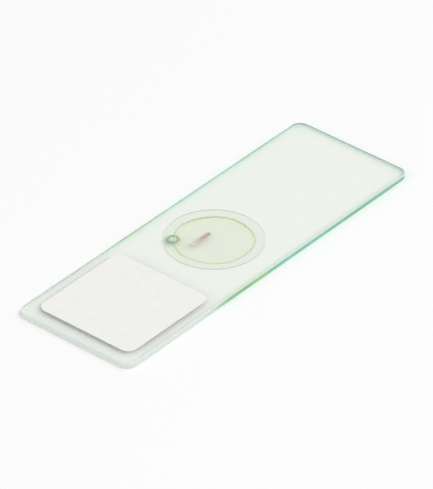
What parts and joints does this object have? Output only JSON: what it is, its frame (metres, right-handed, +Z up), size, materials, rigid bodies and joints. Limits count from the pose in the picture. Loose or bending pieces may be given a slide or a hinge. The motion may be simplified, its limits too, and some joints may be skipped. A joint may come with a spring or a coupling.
{
  "type": "microscope slide",
  "caption": "Prepared microscope slide: glass plate with rounded corners, a blank paper label at one end, and stained stem sections in resin under a round cover glass.",
  "frame": {"origin": "centre of the plate's underside, on the surface the slide lies on", "axes": "+X along the slide from the labelled end to the plain end, +Y across it, +Z up through the plate to the cover glass"},
  "size_m": [0.0762, 0.0254, 0.0014],
  "materials": {
    "plate_glass": "clear polished soda-lime glass with ground green edges",
    "cover_glass": "thin clear cover glass",
    "resin": "clear, faintly yellow hardened mounting resin",
    "green_stain": "thin plant tissue stained green",
    "red_stain": "thin plant tissue stained red brown",
    "label_paper": "smooth white label paper"
  },
  "bodies": {
    "root": {"glass_slide": "plate_glass", "paper_label": "label_paper", "mounting_resin": "resin", "stem_cross_section": "green_stain", "stem_long_section": "red_stain", "cover_glass": "cover_glass"}
  },
  "joints": []
}
